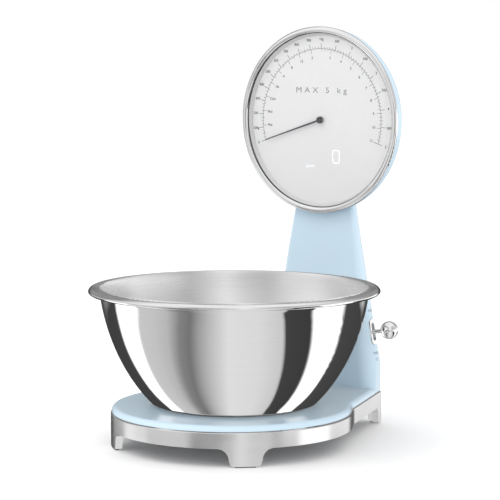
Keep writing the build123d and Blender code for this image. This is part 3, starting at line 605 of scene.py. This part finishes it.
def compass(tree, x, y):
    """The compass angle of (x, y) as a share of a full turn, which starts behind the object."""
    turns = math_node(tree, "DIVIDE", math_node(tree, "ARCTAN2", y, x), 2 * math.pi)
    return math_node(tree, "ADD", turns, 0.5)


def squared(tree, value):
    return math_node(tree, "MULTIPLY", value, value)


def low_bands(tree, x, y, z):
    depth = math_node(tree, "MULTIPLY", math_node(tree, "ABSOLUTE", z), LOW_SPREAD)
    forward = math_node(tree, "ADD", x, depth)
    bands = angle_ramp(tree, STUDIO_LOW, compass(tree, forward, y))
    reach = math_node(tree, "SQRT", math_node(tree, "ADD", squared(tree, forward), squared(tree, y)))
    return mix_color(tree, remap(tree, reach, 0.0, 1.0, *CALM_REACH), CALM, bands)


def mirrored_pattern(tree):
    """What the polished parts see: low, level and high bands, and an even grey overhead."""
    coords = tree.nodes.new("ShaderNodeTexCoord")
    turn = tree.nodes.new("ShaderNodeVectorRotate")
    turn.rotation_type = "Z_AXIS"
    turn.inputs["Angle"].default_value = math.radians(-TOWARDS_CAMERA_DEG)
    link(tree, coords.outputs["Generated"], turn.inputs["Vector"])
    parts = tree.nodes.new("ShaderNodeSeparateXYZ")
    link(tree, turn.outputs["Vector"], parts.inputs["Vector"])
    x, y, z = (parts.outputs[axis] for axis in "XYZ")
    place = compass(tree, x, y)
    pattern = low_bands(tree, x, y, z)
    layers = (
        (LOW_TO_LEVEL, angle_ramp(tree, STUDIO_LEVEL, place)),
        (LEVEL_TO_HIGH, angle_ramp(tree, STUDIO_HIGH, place)),
        (HIGH_TO_OVERHEAD, OVERHEAD),
    )
    for rise, above in layers:
        pattern = mix_color(tree, remap(tree, z, 0.0, 1.0, *rise), pattern, above)
    return pattern


def background(tree, color, strength=1.0):
    node = tree.nodes.new("ShaderNodeBackground")
    node.inputs["Strength"].default_value = strength
    if isinstance(color, bpy.types.NodeSocket):
        link(tree, color, node.inputs["Color"])
    else:
        node.inputs["Color"].default_value = (*color, 1.0)
    return node.outputs["Background"]


def studio_world():
    """White to the camera, the pattern to mirrors, and even soft light to everything else."""
    world = bpy.data.worlds.new("studio")
    bpy.context.scene.world = world
    world.use_nodes = True
    world.cycles.sampling_method = "NONE"
    tree = world.node_tree
    tree.nodes.clear()
    rays = tree.nodes.new("ShaderNodeLightPath").outputs
    soft = background(tree, WHITE, SOFT_STRENGTH)
    lit = mix_shader(tree, rays["Is Glossy Ray"], soft, background(tree, mirrored_pattern(tree)))
    shown = mix_shader(tree, rays["Is Camera Ray"], lit, background(tree, WHITE))
    output = tree.nodes.new("ShaderNodeOutputWorld")
    link(tree, shown, output.inputs["Surface"])


def soft_light(name, place, target, size, watts):
    data = bpy.data.lights.new(name, "AREA")
    data.shape = "DISK"
    data.size = size
    data.energy = watts
    light = bpy.data.objects.new(name, data)
    light.location = place
    light.rotation_euler = (Vector(target) - Vector(place)).to_track_quat("-Z", "Y").to_euler()
    light.visible_glossy = False
    bpy.context.scene.collection.objects.link(light)


def soft_sun(strength, direction, angle_deg):
    """A very wide sun: even light that reaches the far floor too."""
    data = bpy.data.lights.new("sky_light", "SUN")
    data.energy = strength
    data.angle = math.radians(angle_deg)
    light = bpy.data.objects.new("sky_light", data)
    light.rotation_euler = (-Vector(direction)).to_track_quat("-Z", "Y").to_euler()
    light.visible_glossy = False
    bpy.context.scene.collection.objects.link(light)


def studio_floor():
    mesh = bmesh.new()
    bmesh.ops.create_grid(mesh, x_segments=24, y_segments=24, size=FLOOR_HALF)
    data = bpy.data.meshes.new("studio_floor")
    mesh.to_mesh(data)
    mesh.free()
    data.materials.append(finish_material("floor_paper", (0.93, 0.93, 0.935), rough=(0.7, 0.85), spread=0.01))
    floor = bpy.data.objects.new("studio_floor", data)
    bpy.context.scene.collection.objects.link(floor)
    floor.visible_glossy = False


def studio_camera():
    data = bpy.data.cameras.new("camera")
    data.lens = LENS_MM
    data.sensor_width = SENSOR_MM
    data.clip_start = CLIP_NEAR
    data.clip_end = CLIP_FAR
    camera = bpy.data.objects.new("camera", data)
    camera.location = CAMERA_AT
    camera.rotation_euler = CAMERA_DIRECTION.to_track_quat("-Z", "Y").to_euler()
    bpy.context.scene.collection.objects.link(camera)
    bpy.context.scene.camera = camera


dress_nodes()
scale_lines()
scale_numbers()
dial_words()
readout()
side_marks()

studio_world()
studio_floor()
soft_light("key_light", place=(-0.9, -1.3, 2.2), target=(0.0, 0.0, 0.1), size=1.6, watts=8.0)
soft_light("fill_light", place=(1.9, -1.6, 1.5), target=(0.0, 0.0, 0.2), size=1.8, watts=4.0)
soft_sun(strength=0.42, direction=(-0.35, -0.45, 1.0), angle_deg=70.0)
studio_camera()
bpy.context.scene.view_settings.view_transform = "Standard"
